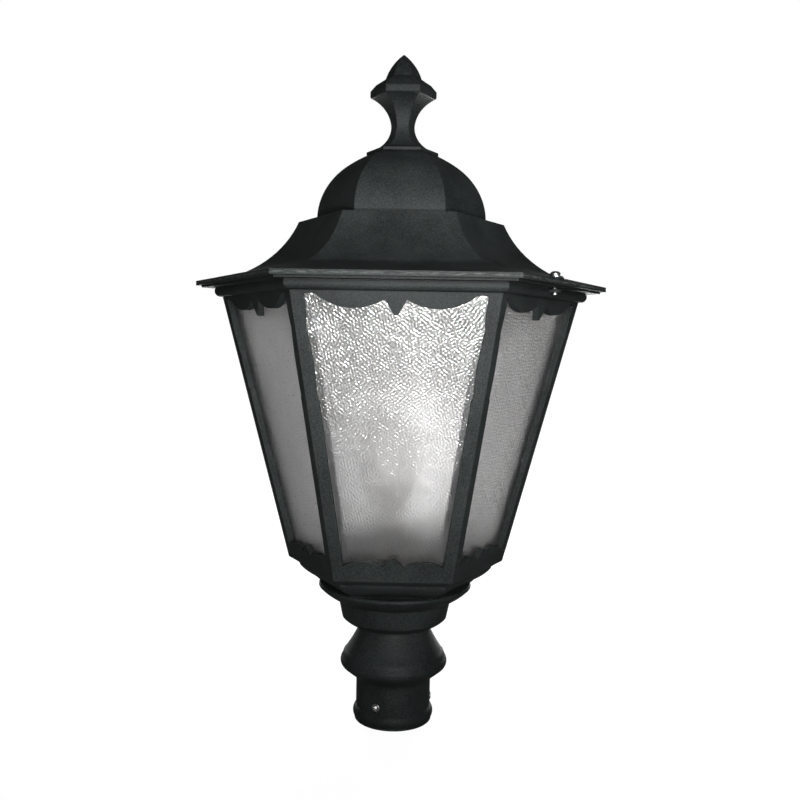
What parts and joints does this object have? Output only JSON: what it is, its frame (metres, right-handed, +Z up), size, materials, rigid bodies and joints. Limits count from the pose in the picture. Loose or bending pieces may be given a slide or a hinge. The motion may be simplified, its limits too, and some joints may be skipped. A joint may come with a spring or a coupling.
{
  "type": "post top lantern",
  "caption": "Hexagonal post top lantern with pebbled glass panes in scalloped cast frames, a hinged stepped roof with a finial, and a turned socket that slips over a round post.",
  "frame": {"origin": "centre of the post socket's open bottom end, on the socket's axis", "axes": "+Z up along the socket's axis; the front side's face is towards -Y and two corners of the hexagon lie on the X axis"},
  "size_m": [0.412, 0.3568, 0.67],
  "materials": {
    "coated_casting": "cast aluminium with a fine-textured satin black-green powder coat",
    "coated_hinge": "steel with the same powder coat",
    "pebbled_glass": "translucent pebbled glass",
    "bare_aluminium": "mill finish",
    "stainless_steel": "stainless, satin",
    "seal_foam": "closed-cell foam",
    "grommet_rubber": "matte",
    "white_reflector": "white stove enamel",
    "porcelain": "glazed",
    "brass_parts": "bright",
    "lamp_cap_metal": "nickel plated",
    "lamp_white_plastic": "matte",
    "opal_globe": "opal",
    "terminal_plastic": "matte",
    "wire_insulation": "matte"
  },
  "bodies": {
    "cage": {"post_socket": "coated_casting", "base_dish": "coated_casting", "base_tray": "coated_casting", "neck_bolts": "stainless_steel", "tie_bolts": "stainless_steel", "side_frame_1": "coated_casting", "side_frame_2": "coated_casting", "side_frame_3": "coated_casting", "side_frame_4": "coated_casting", "side_frame_5": "coated_casting", "side_frame_6": "coated_casting", "pane_1": "pebbled_glass", "pane_2": "pebbled_glass", "pane_3": "pebbled_glass", "pane_4": "pebbled_glass", "pane_5": "pebbled_glass", "pane_6": "pebbled_glass", "corner_strips": "bare_aluminium", "frame_screws": "stainless_steel", "cornice_ring": "coated_casting", "cornice_screws": "stainless_steel", "roof_seal": "seal_foam", "hinge_bracket": "coated_hinge", "hinge_bracket_screws": "stainless_steel", "hinge_pin": "stainless_steel", "holder_strap": "bare_aluminium", "strap_screws": "stainless_steel", "holder_rivets": "stainless_steel", "lamp_holder": "porcelain", "holder_shell": "brass_parts", "centre_contact": "brass_parts", "terminal_block": "terminal_plastic", "terminal_screws": "stainless_steel", "lead_wires": "wire_insulation", "cable_grommet": "grommet_rubber", "earth_screw": "brass_parts"},
    "roof": {"roof_skirt": "coated_casting", "roof_dome": "coated_casting", "finial": "coated_casting", "finial_stud": "stainless_steel", "roof_bridge": "bare_aluminium", "reflector": "white_reflector", "roof_washer": "stainless_steel", "roof_nut": "stainless_steel", "hinge_leaf": "coated_hinge", "hinge_leaf_screws": "stainless_steel"},
    "latch": {"latch_screw": "stainless_steel", "latch_washer": "stainless_steel"},
    "lamp": {"lamp_cap": "lamp_cap_metal", "lamp_body": "lamp_white_plastic", "lamp_globe": "opal_globe"},
    "set_screw_1": {"set_screw_1": "stainless_steel"},
    "set_screw_2": {"set_screw_2": "stainless_steel"},
    "set_screw_3": {"set_screw_3": "stainless_steel"}
  },
  "joints": [
    {"name": "roof_hinge", "type": "hinge", "parent": "cage", "child": "roof", "pos_m": [-0.14636, 0.0845, 0.428], "axis": [-0.5, -0.866, 0], "range_deg": [0, 95]},
    {"name": "latch_screw_lift", "type": "slide", "parent": "roof", "child": "latch", "axis": [0, 0, 1], "range_m": [0, 0.012]},
    {"name": "lamp_lift", "type": "slide", "parent": "cage", "child": "lamp", "axis": [0, 0, 1], "range_m": [0, 0.034]},
    {"name": "set_screw_1_turn_out", "type": "slide", "parent": "cage", "child": "set_screw_1", "axis": [-0.4226, -0.9063, 0], "range_m": [-0.0015, 0.006]},
    {"name": "set_screw_2_turn_out", "type": "slide", "parent": "cage", "child": "set_screw_2", "axis": [0.9962, 0.0872, 0], "range_m": [-0.0015, 0.006]},
    {"name": "set_screw_3_turn_out", "type": "slide", "parent": "cage", "child": "set_screw_3", "axis": [-0.5736, 0.8192, 0], "range_m": [-0.0015, 0.006]}
  ]
}
